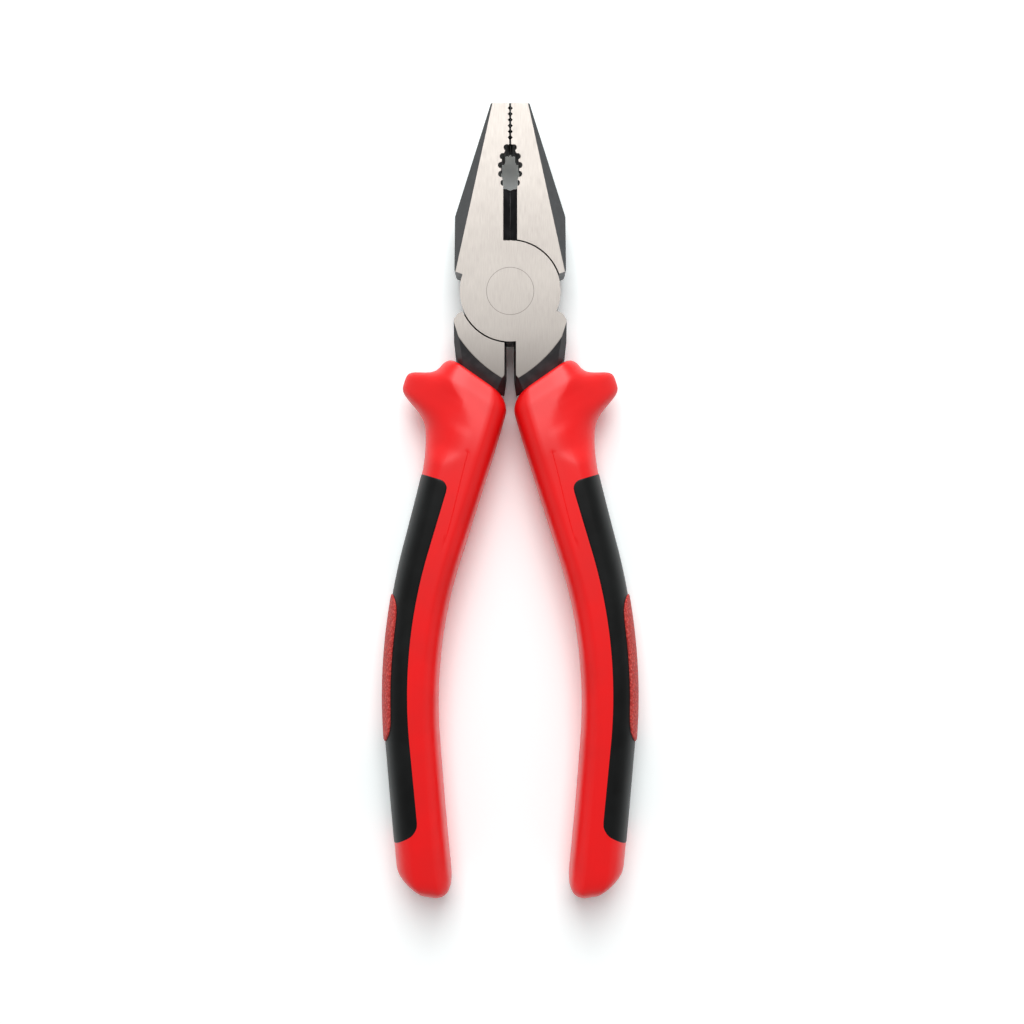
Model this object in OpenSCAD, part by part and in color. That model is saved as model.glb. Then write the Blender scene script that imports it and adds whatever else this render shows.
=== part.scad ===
// Combination pliers, closed. Two equal forgings cross in a lap joint on one flush rivet, and each
// tang carries a moulded grip: a red body, a black insert in its outer side and a pad in the insert.
// +Y runs from the handles to the nose and +Z points up off the bench that the grips lie on.

/* [Head] */
// Thickness of the head across its two ground faces
head_t = 11; // [8:0.5:14]
// Width of the head across both jaws
head_w = 27.9; // [25.5:0.1:32]
// Reach of the jaws from the pivot to the nose
jaw_reach = 46.9; // [43:0.1:56]
// Width of both jaws together at the nose
nose_w = 9.7; // [7:0.1:13]
// Height above the pivot where the jaws reach their full width
cheek_y = 19.4; // [15:0.1:24]
// Width of the ground face at the nose
nose_face_w = 8.8; // [6:0.1:9.6]
// Width of the ground face at the jaws' shoulders
joint_face_w = 27.5; // [24:0.1:31]
// Slope of the side bevels below the ground faces
bevel_slope = 50; // [35:1:65]
// Chamfer of the outer corners of the jaws' shoulders
jaw_corner = 0.3; // [0.2:0.1:1.2]

/* [Lap joint] */
// Radius of the lap discs
disc_r = 12.6; // [10.5:0.1:13]
// Gap round a lap disc
joint_gap = 0.36; // [0.2:0.02:0.6]
// Gap between the two laps
lap_gap = 0.06; // [0.04:0.02:0.2]
// Angle of the jaws' shoulders above the cross line of the pivot
jaw_stop = 19.5; // [16:0.5:24]
// Angle of the necks' shoulders below the cross line of the pivot
neck_stop = 23.3; // [22:0.1:30]
// Diameter of the rivet's flush heads
rivet_head_d = 11.8; // [9.5:0.1:14]
// Diameter of the rivet's shank
rivet_d = 8; // [6:0.1:9]
// Depth of a rivet head's countersink
rivet_head_t = 2; // [1:0.1:3]
// Radial running clearance of the rivet in the rear half
rivet_fit = 0.04; // [0.02:0.01:0.08]

/* [Jaw faces] */
// Gap between the closed jaws
jaw_gap = 0.02; // [0.02:0.02:0.6]
// Half width of the V groove where the jaws meet on a ground face
bite_w = 0.25; // [0.1:0.05:0.4]
// Number of fine grip grooves in each jaw
groove_count = 6; // [3:1:7]
// Spacing of the fine grip grooves
groove_pitch = 1.46; // [1:0.02:1.5]
// Depth of a fine grip groove
groove_depth = 0.65; // [0.2:0.05:0.9]
// Distance from the nose to the first groove
groove_start = 1.3; // [0.8:0.1:2]
// Height of the pipe grip's middle above the pivot
pipe_y = 30.6; // [29.5:0.1:32]
// Length of the pipe grip's oval
pipe_len = 12.8; // [10.6:0.1:14]
// Width of the pipe grip between its teeth
pipe_w = 4.6; // [4.4:0.1:7]
// Number of scallops on each side of the pipe grip
scallop_count = 5; // [3:1:5]
// Spacing of the scallops
scallop_pitch = 2.2; // [1.8:0.1:2.4]
// Height of the middle scallops above the pivot
scallop_y = 31.4; // [30:0.1:32]
// Radius of a scallop
scallop_r = 0.8; // [0.5:0.05:0.9]
// Width of the cutter slot at the ground faces
cutter_w = 3.5; // [2:0.1:4]
// Height of the cutter slot's top above the pivot
cutter_top = 26.4; // [25.5:0.1:27]
// Depth of one ground side of the cutting edge
cutter_edge = 2.6; // [1.5:0.1:4]
// Gap between the closed cutting edges
cutter_gap = 0.02; // [0.02:0.02:0.4]

/* [Neck and tang] */
// Width across both necks
neck_w = 28.2; // [26:0.1:32]
// Width of the slot between the necks
neck_slot_w = 2.9; // [2:0.1:4]
// Draft of each side of that slot, from a ground face to the middle
slot_draft = 0.5; // [0.1:0.1:0.8]
// Chamfer of the outer corners of the necks' shoulders
neck_corner = 1; // [0.3:0.1:1.5]
// Radius of the arc where the necks' ground faces end
ramp_r = 32.7; // [31:0.1:35]
// Side offset of that arc's centre, across the pivot from its neck
ramp_x = 14.5; // [12:0.1:17]
// Height of that arc's centre above the pivot
ramp_y = 6.6; // [5:0.1:8]
// Slope of the ramp from the ground face down to the tang
ramp_slope = 22; // [18:1:45]
// Distance below the pivot where the necks' side bevel starts
neck_bevel_y = 7.5; // [7:0.1:12]
// Width of the necks' side bevel at the collar
neck_bevel = 4.3; // [1:0.1:5]
// Outer half width of the neck at the collar
neck_out = 7.7; // [7:0.1:8]
// Inner half width of the neck at the collar
neck_in = 7; // [5.5:0.1:7.4]
// Width of the draft on the neck's inner side at the collar
draft_w = 2.9; // [1:0.1:3]
// Slope of that draft
draft_slope = 62; // [55:1:75]
// Thickness of the tang
tang_t = 6; // [4:0.5:7]
// Outer half width of the tang at the collar
tang_root = 6.8; // [5.5:0.1:7.2]
// Width of the tang over most of its length
tang_w = 7.6; // [5:0.1:8.5]
// Length over which the tang narrows
tang_taper = 9; // [5:0.5:14]
// Length of the tang inside the grip
tang_len = 108; // [60:1:118]

/* [Grip line] */
// Side offset of the collar's middle from the pivot
collar_x = 7.3; // [7:0.1:9]
// Distance of the collar's middle below the pivot
collar_y = 21.9; // [20:0.1:25]
// Angle at which the grips leave the collar
splay = 16.6; // [14:0.1:20]
// Length of the straight part below the collar
straight_len = 45; // [35:1:60]
// Radius of the grip's bend
bend_r = 125; // [90:1:180]
// Angle at which the grips' ends turn back in
toe_in = 5.5; // [2:0.1:8]
// Length of the grip along its own line
grip_len = 133.7; // [126:0.1:150]

/* [Grip section] */
// Thickness of the grip
grip_t = 17; // [14:0.5:21]
// Thickness of the collar's mouth
collar_t = 13; // [11:0.5:16]
// Rake of the collar's mouth
collar_rake = 35; // [28:1:40]
// Rounding of the collar's mouth
collar_edge = 0.8; // [0.4:0.1:1.2]
// Radius of the collar's outer corner
collar_outer_r = 2.8; // [1.5:0.1:3.2]
// Radius of the collar's inner corner
collar_inner_r = 4; // [3:0.1:4.2]
// Length over which the rake fades out
rake_len = 27; // [22:1:34]
// Outer half width at the collar
collar_out = 10.8; // [10.4:0.1:11.5]
// Outer half width at the waist
waist_out = 7.7; // [7:0.1:9]
// Outer half width at the palm
palm_out = 6.6; // [5.8:0.1:7.5]
// Outer half width near the heel
heel_out = 7; // [5.8:0.1:8]
// Inner half width at the collar
collar_in = 8.7; // [8.2:0.1:9]
// Inner half width at the waist
waist_in = 8.3; // [7.5:0.1:8.7]
// Inner half width at the palm
palm_in = 7.5; // [6:0.1:8]
// Inner half width near the heel
heel_in = 6.6; // [5.5:0.1:7.5]
// Length of the rounded heel
heel_len = 11; // [8:0.5:14]
// Slant of the heel's end
heel_slant = 15; // [0:1:20]
// Width of the inner side's facet
facet_w = 3.6; // [2.5:0.1:5]
// Width of the outer side's rounding
round_w = 5.6; // [4:0.1:5.8]

/* [Guard] */
// Height of the guard lug off the grip's outer side
guard_h = 8.3; // [5:0.1:13]
// Distance of the lug from the collar's mouth
guard_s = 9.7; // [8:0.1:13]
// Half width of the lug at half its height
guard_w = 3.9; // [3:0.1:5]

/* [Insert and pad] */
// Distance of the insert's top from the collar's mouth
insert_top = 27; // [26:0.5:34]
// Distance of the insert's lower end from the grip's end
insert_stop = 18.7; // [16:0.1:26]
// Slant of the insert's lower end
insert_slant = 25; // [0:1:30]
// Corner radius of the insert
insert_r = 2.3; // [1:0.1:2.5]
// Offset of the insert's inner edge from the grip's own line
insert_edge = 0.1; // [0:0.1:1]
// Depth of the insert in the grip body
insert_depth = 1.5; // [1:0.1:1.8]
// Height of the insert above the grip body
insert_proud = 0.1; // [0.05:0.05:0.5]
// Distance of the pad's middle from the collar's mouth
pad_s = 74.5; // [70:0.5:80]
// Length of the pad
pad_len = 34; // [28:0.5:44]
// Height of the pad
pad_h = 14.4; // [10:0.1:15]
// Depth of the pad in the insert
pad_depth = 0.9; // [0.5:0.1:1]
// Height of the pad above the insert
pad_proud = 0.4; // [0.2:0.05:0.8]
// Gap between mouldings, and between the grip and the tang
fit_gap = 0.05; // [0.03:0.01:0.15]

/* [Hidden] */
$fn = 96;
steel = "#cdc8c2";
red = "#d9201f";
black = "#1d1f1f";
dull_red = "#b4423a";

half_t = head_t / 2;
far = 4 * head_w;          // longer than any cut needs
past = 1;                  // how far a cut runs past the face that it starts from
joint_r = disc_r + joint_gap;
edge_y = joint_r * sin(jaw_stop);
groove_top = jaw_reach - groove_start;
lens_r = (pow(pipe_w / 2, 2) + pow(pipe_len / 2, 2)) / pipe_w;
bend_len = bend_r * (splay + toe_in) * PI / 180;
grip_half_t = grip_t / 2;
heel_s = grip_len - heel_len;
waist_s = rake_len;
insert_end = grip_len - insert_stop;
pad_top = pad_s - pad_len / 2;
pad_end = pad_s + pad_len / 2;
palm_s = straight_len + bend_len / 2;

// Unit vectors along and across a line that leans outwards by an angle from straight down
function along(a) = [sin(a), -cos(a)];
function across(a) = [cos(a), sin(a)];

// The grip's own line: straight, then one bend, then straight again
function spine_angle(s) =
    s < straight_len ? splay : max(-toe_in, splay - (s - straight_len) / bend_r * 180 / PI);
bend_start = [collar_x, -collar_y] + straight_len * along(splay);
bend_middle = bend_start - bend_r * across(splay);
function spine_point(s) =
    s < straight_len ? [collar_x, -collar_y] + s * along(splay)
    : bend_middle + bend_r * across(spine_angle(s))
      + max(0, s - straight_len - bend_len) * along(-toe_in);

lay_y = -(jaw_reach + spine_point(grip_len)[1]) / 2;

// Smooth curve through a list of [position, value] rows, which never overshoots a row
function rise(rows, i) = (rows[i + 1][1] - rows[i][1]) / (rows[i + 1][0] - rows[i][0]);
function row_slope(rows, i) =
    let (inside = i > 0 && i < len(rows) - 1,
         a = inside ? rise(rows, i - 1) : 0, b = inside ? rise(rows, i) : 0)
    a * b > 0 ? 2 * a * b / (a + b) : 0;
function smooth_row(rows, i, s) =
    let (d = rows[i + 1][0] - rows[i][0], u = (s - rows[i][0]) / d, v = 1 - u)
    rows[i][1] * v * v * (1 + 2 * u) + rows[i + 1][1] * u * u * (1 + 2 * v)
    + d * u * v * (v * row_slope(rows, i) - u * row_slope(rows, i + 1));
function smooth(rows, s) =
    smooth_row(rows, max([for (k = [0 : len(rows) - 2]) if (s >= rows[k][0]) k]), s);

// Sections are square to the grip's own line, but lean to the collar's rake at its mouth, to the slant
// of the insert's lower end there and to that of the heel
lean_rows = [[0, 0], [pad_s, 0], [insert_end, -insert_slant], [grip_len, heel_slant]];
function end_lean(s) = smooth(lean_rows, min(s, grip_len));
function section_angle(s) =
    spine_angle(s) + (collar_rake - splay) * max(0, 1 - s / rake_len) + end_lean(s);
function grip_point(s, w) = spine_point(s) + w / cos(end_lean(s)) * across(section_angle(s));

outer_rows = [[0, collar_out], [guard_s, collar_out], [waist_s, waist_out], [palm_s, palm_out],
              [heel_s, heel_out], [grip_len, heel_out]];
inner_rows = [[0, collar_in], [waist_s, waist_in], [palm_s, palm_in], [heel_s, heel_in],
              [grip_len, heel_in]];
thick_rows = [[0, collar_t / 2], [guard_s, grip_half_t], [heel_s, grip_half_t], [grip_len, grip_half_t]];

lug_squareness = 4.3;      // over 2 gives the lug a flatter tip and steeper flanks
lug_rounding = 0.66;       // share of the lug's height that its round tip takes
function lug(s) = guard_h / (1 + pow(abs(s - guard_s) / guard_w, lug_squareness));
// Share of the full section left in the rounded heel, which is squarer for a higher power, and what
// a rounding of radius r takes off at the collar's mouth
outer_power = 2.6;
inner_power = 7;
thick_power = 8;
facet_power = 4;
function heel_share(s, power) = 1 - pow(max(0, (s - heel_s) / heel_len), power);
function mouth_cut(s, r) = r * (1 - sqrt(1 - pow(max(0, 1 - s / r), 2)));
function outer_w(s) =
    (smooth(outer_rows, s) + lug(s)) * heel_share(s, outer_power) - mouth_cut(s, collar_outer_r);
function inner_w(s) = smooth(inner_rows, s) * heel_share(s, inner_power) - mouth_cut(s, collar_inner_r);
function half_thick(s) = smooth(thick_rows, s) * heel_share(s, thick_power) - mouth_cut(s, collar_edge);
function rounding(s) =
    round_w * heel_share(s, outer_power) + lug_rounding * lug(s) - mouth_cut(s, collar_outer_r);
function facet(s) =
    facet_w * (heel_share(s, facet_power) - mouth_cut(s, collar_inner_r) / smooth(inner_rows, s));

// Points of a section are [across, up] from the grip's own line. The outer side is a rounded curve,
// named by an angle from its middle: 90 is the edge of the flat top and -90 that of the flat underside
plain_fullness = 0.94;     // under 1 is squarer than an ellipse
lug_fullness = 1.15;       // over 1 is slimmer than an ellipse
function fullness(s) = plain_fullness + (lug_fullness - plain_fullness) * lug(s) / guard_h;
function outer_point(s, grow, a) =
    [outer_w(s) - rounding(s) + (rounding(s) + grow) * pow(cos(a), fullness(s)),
     sign(a) * (half_thick(s) + grow) * pow(sin(abs(a)), fullness(s))];
// Angle on that curve of a place across the section, and of a height above the middle
function angle_across(s, grow, x) =
    let (u = (x - outer_w(s) + rounding(s)) / (rounding(s) + grow))
    u <= 0 ? 90 : acos(pow(min(u, 1), 1 / fullness(s)));
function angle_up(s, grow, z) = asin(pow(z / (half_thick(s) + grow), 1 / fullness(s)));
function edge_point(s, grow, x, side) =
    [x, side * outer_point(s, grow, angle_across(s, grow, x))[1]];

// Inner edge of the insert across the section, with a round corner at each end
function insert_edge_at(s) =
    let (d = min(s - insert_top, insert_end - s) / insert_r)
    (insert_edge + insert_r * (1 - sqrt(1 - pow(max(0, min(1, 1 - d)), 2)))) * heel_share(s, outer_power);
// Half height of the pad, whose ends are round-cornered and keep a short straight edge
pad_squareness = 7;
pad_reach = 0.97;          // share of the full round end that the pad reaches into
function pad_half(s) =
    let (u = min(1, abs(s - pad_s) / (pad_len / 2)) * pad_reach)
    pad_h / 2 * sqrt(1 - pow(u, pad_squareness));
function pad_angle(s) =
    angle_up(s, insert_proud, pad_half(max(pad_top, min(pad_end, s))) * half_thick(s) / grip_half_t);

// Curve round the outer side from the insert's upper edge to its lower edge, in matching steps, and
// its middle stretch, which the pad covers
side_steps = 4;
pad_steps = 6;
function pad_path(s, grow) =
    let (p = pad_angle(s))
    [for (k = [0 : pad_steps]) outer_point(s, grow, p * (1 - 2 * k / pad_steps))];
function side_path(s, grow, x, side) =
    let (e = angle_across(s, grow, x), p = pad_angle(s))
    concat([edge_point(s, grow, x, side)],
           [for (k = [1 : side_steps - 1]) outer_point(s, grow, side * (e + (p - e) * k / side_steps))]);
function turned(list) = [for (i = [len(list) - 1 : -1 : 0]) list[i]];
function outer_path(s, grow, x) =
    concat(side_path(s, grow, x, 1), pad_path(s, grow), turned(side_path(s, grow, x, -1)));
// Curve round the inner side from below to above: flat underside, facet, lip, facet, flat top
facet_rows = [[1, 1], [0.8, 0.96], [0.44, 0.78], [0.16, 0.52], [0.04, 0.26]];   // shares of width and height
function inner_path(s) =
    let (n = inner_w(s), t = half_thick(s), f = facet(s),
         low = [for (row = facet_rows) [row[0] * f - n, -row[1] * t]])
    concat(low, [[-n, 0]], [for (p = turned(low)) [p[0], -p[1]]]);

function placed(s, section) = [for (p = section) concat(grip_point(s, p[0]), p[1])];
path_n = 2 * side_steps + pad_steps + 1;
inner_n = 2 * len(facet_rows) + 1;

// Triangles between rings of n points that follow each other from index base, and between two open
// runs of k points that start at indices a and b
function ring_faces(base, rows, n) =
    [for (i = [0 : rows - 2], j = [0 : n - 1])
     let (a = base + i * n + j, b = base + i * n + (j + 1) % n)
     each [[a, b, b + n], [a, b + n, a + n]]];
function run_faces(a, b, k) =
    [for (j = [0 : k - 2]) each [[a + j, a + j + 1, b + j + 1], [a + j, b + j + 1, b + j]]];
function cap_faces(base, n) = [for (j = [1 : n - 2]) [base, base + j + 1, base + j]];
// Triangles across the end of a slab whose ring runs out along its upper side and back along its lower
function slab_end(base, k) =
    [for (j = [0 : k - 2])
     let (a = base + j, b = base + 2 * k - 1 - j)
     each [[a, b - 1, a + 1], [a, b, b - 1]]];
function flipped(faces) = [for (f = faces) turned(f)];

corner = [0, 0.12, 0.4, 1] * insert_r;
insert_upper = concat([for (d = corner) insert_top + d],
                      [for (u = [0.2 : 0.2 : 0.81]) insert_top + u * (pad_top - insert_top)], [pad_top]);
pad_stops = [for (u = [0, 0.02, 0.06, 0.14, 0.26, 0.38, 0.5, 0.62, 0.74, 0.86, 0.94, 0.98, 1])
             pad_top + u * pad_len];
insert_lower = concat([pad_end], [for (u = [0.25 : 0.25 : 0.76]) pad_end + u * (insert_end - pad_end)],
                      [for (d = turned(corner)) insert_end - d]);
insert_stops = concat(insert_upper, [for (i = [1 : len(pad_stops) - 1]) pad_stops[i]],
                      [for (i = [1 : len(insert_lower) - 1]) insert_lower[i]]);
collar_stops = concat([0, 0.02, 0.06, 0.12, 0.22, 0.38, 0.6, 1] * collar_inner_r,
                      [for (u = [0.2 : 0.05 : 0.96]) u * insert_top]);
heel_stops = concat([for (u = [0.3, 0.65]) insert_end + u * (heel_s - insert_end)],
                    [for (u = [0, 0.25, 0.45, 0.6, 0.73, 0.84, 0.92, 0.975]) heel_s + u * heel_len]);
tang_stops = [for (u = [0 : 0.05 : 1]) u * tang_len];

// Cuts away what lies outside a sloped plane through the line from p to q on both ground faces
module bevel_cut(p, q, slope) {
    lean = atan2(q[1] - p[1], q[0] - p[0]);
    for (k = [0, 1])
        mirror([0, 0, k])
            translate([p[0], p[1], half_t])
                rotate([0, 0, lean])
                    rotate([-slope, 0, 0])
                        translate([-far, 0, 0])
                            cube([2 * far, far, far]);
}

module jaw() {
    difference() {
        linear_extrude(head_t, center = true)
            polygon([[0, jaw_reach], [nose_w / 2, jaw_reach], [head_w / 2, cheek_y],
                     [head_w / 2, head_w / 2 * tan(jaw_stop) + jaw_corner],
                     [head_w / 2 - jaw_corner, (head_w / 2 - jaw_corner) * tan(jaw_stop)],
                     [disc_r / 2, disc_r / 2 * tan(jaw_stop)], [0, disc_r / 2 * tan(jaw_stop)]]);
        bevel_cut([nose_face_w / 2, jaw_reach], [joint_face_w / 2, edge_y], bevel_slope);
    }
}

// Half of what is cut out between the closed jaws, seen on one ground face
module jaw_relief_plan() {
    translate([-past, cutter_top - past])
        square([past + jaw_gap / 2, jaw_reach]);
    for (i = [0 : groove_count - 1])
        translate([0, groove_top - i * groove_pitch])
            polygon([[-past, groove_pitch / 2], [0, groove_pitch / 2], [groove_depth, 0],
                     [0, -groove_pitch / 2], [-past, -groove_pitch / 2]]);
    // The pipe grip opens into the cutter slot
    translate([-past, cutter_top])
        square([past + cutter_w / 2, pipe_y - scallop_pitch - cutter_top]);
    translate([0, pipe_y]) {
        intersection() {
            translate([pipe_w / 2 - lens_r, 0])
                circle(lens_r);
            translate([-past, cutter_top - pipe_y])
                square([pipe_w, pipe_len]);
        }
        for (i = [0 : scallop_count - 1]) {
            y = scallop_y - pipe_y + (i - (scallop_count - 1) / 2) * scallop_pitch;
            translate([pipe_w / 2 - lens_r + sqrt(pow(lens_r, 2) - y * y), y])
                circle(scallop_r);
        }
    }
}

// V groove along the line where the jaws meet on each ground face
module bite_groove() {
    translate([0, jaw_reach + past, 0])
        rotate([90, 0, 0])
            linear_extrude(jaw_reach + past - cutter_top)
                for (z = [-half_t, half_t])
                    translate([0, z])
                        circle(bite_w, $fn = 4);
}

module cutter_relief() {
    translate([0, cutter_top, 0])
        rotate([90, 0, 0])
            linear_extrude(cutter_top - disc_r)
                polygon([[-past, head_t], [cutter_w / 2, head_t], [cutter_w / 2, cutter_edge],
                         [cutter_gap / 2, 0], [cutter_w / 2, -cutter_edge], [cutter_w / 2, -head_t],
                         [-past, -head_t]]);
}

// Half width of the tang on its outer side and on its inner side, where it clears the round corner of
// the collar's mouth by a wall
mouth_wall = 0.6;
function tang_side(s, root) = tang_w / 2 + (root - tang_w / 2) * exp(-s / tang_taper);
function tang_out(s) = tang_side(s, tang_root);
function tang_in(s) = tang_side(s, inner_w(0) - mouth_wall);
// A place on the plane of the collar's mouth, a given way up from it
function mouth_point(w, up) = grip_point(0, w) - up * along(collar_rake);
module tang() {
    linear_extrude(tang_t, center = true)
        polygon(concat([mouth_point(tang_out(0), past)], [for (s = tang_stops) grip_point(s, tang_out(s))],
                       [for (s = turned(tang_stops)) grip_point(s, -tang_in(s))],
                       [mouth_point(-tang_in(0), past)]));
}

module neck_plan() {
    top = disc_r / 2;
    inner = neck_slot_w / 2 - slot_draft;
    polygon([[inner, -top], [top, -top * tan(neck_stop)],
             [neck_w / 2 - neck_corner, -(neck_w / 2 - neck_corner) * tan(neck_stop)],
             [neck_w / 2, -neck_w / 2 * tan(neck_stop) - neck_corner], [neck_w / 2, -disc_r],
             mouth_point(neck_out, fit_gap), mouth_point(-neck_in, fit_gap), [inner, -collar_y]]);
}

// The neck's ground faces end on an arc and ramp down to the tang, with a bevel along the outer side
// and drafts on the inner side and in the slot
module neck() {
    difference() {
        union() {
            difference() {
                intersection() {
                    linear_extrude(head_t, center = true)
                        neck_plan();
                    for (k = [0, 1])
                        mirror([0, 0, k])
                            translate([-ramp_x, ramp_y, 0])
                                cylinder(half_t, ramp_r + half_t / tan(ramp_slope), ramp_r);
                }
                bevel_cut([neck_w / 2, -neck_bevel_y], mouth_point(neck_out - neck_bevel, 0), bevel_slope);
            }
            linear_extrude(tang_t, center = true)
                neck_plan();
        }
        bevel_cut([neck_slot_w / 2, -collar_y], [neck_slot_w / 2, 0], atan(half_t / slot_draft));
        bevel_cut(mouth_point(draft_w - neck_in, 0), [neck_slot_w / 2, past - collar_y], draft_slope);
    }
}

// Rivet with a countersunk flush head at each face, or the hole for it
module rivet_form(gap, over) {
    rotate_extrude()
        polygon([[0, half_t + over], [rivet_head_d / 2 + gap, half_t + over],
                 [rivet_head_d / 2 + gap, half_t], [rivet_d / 2 + gap, half_t - rivet_head_t],
                 [rivet_d / 2 + gap, rivet_head_t - half_t], [rivet_head_d / 2 + gap, -half_t],
                 [rivet_head_d / 2 + gap, -half_t - over], [0, -half_t - over]]);
}

// One forging: jaw on the left, front lap disc, neck and tang on the right
module forged_half(rivet_gap) {
    difference() {
        union() {
            difference() {
                union() {
                    mirror([1, 0, 0])
                        jaw();
                    neck();
                }
                translate([0, 0, lap_gap / 2 - head_t])
                    cylinder(head_t, joint_r, joint_r);
            }
            translate([0, 0, lap_gap / 2])
                cylinder(half_t - lap_gap / 2, disc_r, disc_r);
            tang();
        }
        mirror([1, 0, 0]) {
            difference() {
                linear_extrude(2 * head_t, center = true)
                    jaw_relief_plan();
                cylinder(head_t, disc_r, disc_r);
            }
            bite_groove();
            cutter_relief();
        }
        rivet_form(rivet_gap, past);
    }
}

// Red moulding: a loft with a stepped recess for the insert and a socket for the tang
module grip_body() {
    whole_n = path_n + inner_n;
    cut_n = whole_n + 2;
    top_s = insert_top - fit_gap;
    end_s = insert_end + fit_gap;
    top_x = insert_edge_at(insert_top) - fit_gap;
    end_x = insert_edge_at(insert_end) - fit_gap;
    upper = [for (s = concat(collar_stops, [top_s]))
             placed(s, concat(outer_path(s, 0, top_x), inner_path(s)))];
    recess_s = concat([top_s], [for (i = [1 : len(insert_stops) - 2]) insert_stops[i]], [end_s]);
    recess = [for (s = recess_s)
              let (x = insert_edge_at(max(insert_top, min(insert_end, s))) - fit_gap)
              placed(s, concat([edge_point(s, 0, x, 1)], outer_path(s, -insert_depth - fit_gap, x),
                               [edge_point(s, 0, x, -1)], inner_path(s)))];
    lower = [for (s = concat([end_s], heel_stops))
             placed(s, concat(outer_path(s, 0, end_x * heel_share(s, outer_power)), inner_path(s)))];
    deep = tang_t / 2 + fit_gap;
    socket = [for (i = [0 : len(tang_stops) - 1])
              let (s = tang_stops[i], w = tang_out(s) + fit_gap, n = tang_in(s) + fit_gap,
                   e = i == len(tang_stops) - 1 ? s + fit_gap : s)
              placed(e, [[w, deep], [w, -deep], [-n, -deep], [-n, deep]])];
    recess_at = len(upper) * whole_n;
    lower_at = recess_at + len(recess) * cut_n;
    socket_at = lower_at + len(lower) * whole_n;
    last_recess = lower_at - cut_n;
    // Corner of the socket's mouth that a point of the collar's ring joins to
    function mouth_corner(j) =
        j <= path_n / 2 - 1 ? 0 : j < path_n ? 1 : j < path_n + inner_n / 2 ? 2 : 3;
    mouth = [for (j = [0 : whole_n - 1])
             let (k = (j + 1) % whole_n, a = socket_at + mouth_corner(j), b = socket_at + mouth_corner(k))
             each a == b ? [[j, a, k]] : [[j, a, k], [k, a, b]]];
    polyhedron([for (ring = concat(upper, recess, lower, socket)) each ring],
               concat(ring_faces(0, len(upper), whole_n),
                      run_faces(recess_at - whole_n, recess_at + 1, path_n),
                      ring_faces(recess_at, len(recess), cut_n),
                      run_faces(last_recess + 1, lower_at, path_n),
                      ring_faces(lower_at, len(lower), whole_n),
                      flipped(cap_faces(socket_at - whole_n, whole_n)),
                      flipped(ring_faces(socket_at, len(socket), 4)),
                      cap_faces(socket_at + 4 * (len(socket) - 1), 4),
                      mouth),
               convexity = 8);
}

// Black moulding: a curved slab in the recess, with a shallow recess of its own for the pad
module grip_insert() {
    low = function (s) turned(outer_path(s, -insert_depth, insert_edge_at(s)));
    whole = function (s) concat(outer_path(s, insert_proud, insert_edge_at(s)), low(s));
    cut = function (s)
        let (x = insert_edge_at(s), g = insert_proud, h = g - pad_depth - fit_gap,
             p = pad_path(s, g))
        concat(side_path(s, g, x, 1), [p[0]], pad_path(s, h), [p[pad_steps]],
               turned(side_path(s, g, x, -1)), low(s));
    whole_n = 2 * path_n;
    cut_n = whole_n + 2;
    upper = [for (s = insert_upper) placed(s, whole(s))];
    middle = [for (s = pad_stops) placed(s, cut(s))];
    lower = [for (s = insert_lower) placed(s, whole(s))];
    middle_at = len(upper) * whole_n;
    lower_at = middle_at + len(middle) * cut_n;
    last = lower_at + (len(lower) - 1) * whole_n;
    polyhedron([for (ring = concat(upper, middle, lower)) each ring],
               concat(slab_end(0, path_n),
                      ring_faces(0, len(upper), whole_n),
                      run_faces(middle_at - whole_n + side_steps, middle_at + side_steps + 1, pad_steps + 1),
                      ring_faces(middle_at, len(middle), cut_n),
                      run_faces(lower_at - cut_n + side_steps + 1, lower_at + side_steps, pad_steps + 1),
                      ring_faces(lower_at, len(lower), whole_n),
                      flipped(slab_end(last, path_n))),
               convexity = 8);
}

// Pad: a slab in the insert's recess
module grip_pad() {
    n = pad_steps + 1;
    rings = [for (s = pad_stops)
             placed(s, concat(pad_path(s, insert_proud + pad_proud),
                              turned(pad_path(s, insert_proud - pad_depth))))];
    polyhedron([for (ring = rings) each ring],
               concat(slab_end(0, n),
                      ring_faces(0, len(rings), 2 * n),
                      flipped(slab_end((len(rings) - 1) * 2 * n, n))),
               convexity = 4);
}

// Lays the tool on its grips with the middle of its length at the origin
module lay() {
    translate([0, lay_y, grip_half_t + insert_proud])
        children();
}

module left() {
    rotate([0, 180, 0])
        children();
}

module front_half() {
    color(steel)
        lay()
            forged_half(0);
}

module rear_half() {
    color(steel)
        lay()
            left()
                forged_half(rivet_fit);
}

module pivot_rivet() {
    color(steel)
        lay()
            rivet_form(0, 0);
}

module right_grip_body() {
    color(red)
        lay()
            grip_body();
}

module left_grip_body() {
    color(red)
        lay()
            left()
                grip_body();
}

module right_grip_insert() {
    color(black)
        lay()
            grip_insert();
}

module left_grip_insert() {
    color(black)
        lay()
            left()
                grip_insert();
}

module right_grip_pad() {
    color(dull_red)
        lay()
            grip_pad();
}

module left_grip_pad() {
    color(dull_red)
        lay()
            left()
                grip_pad();
}

front_half();
rear_half();
pivot_rivet();
right_grip_body();
left_grip_body();
right_grip_insert();
left_grip_insert();
right_grip_pad();
left_grip_pad();
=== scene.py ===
from math import acos, asin, cos, degrees, pi, radians, sin, sqrt

import bmesh
import bpy
from mathutils import Matrix, Vector


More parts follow.
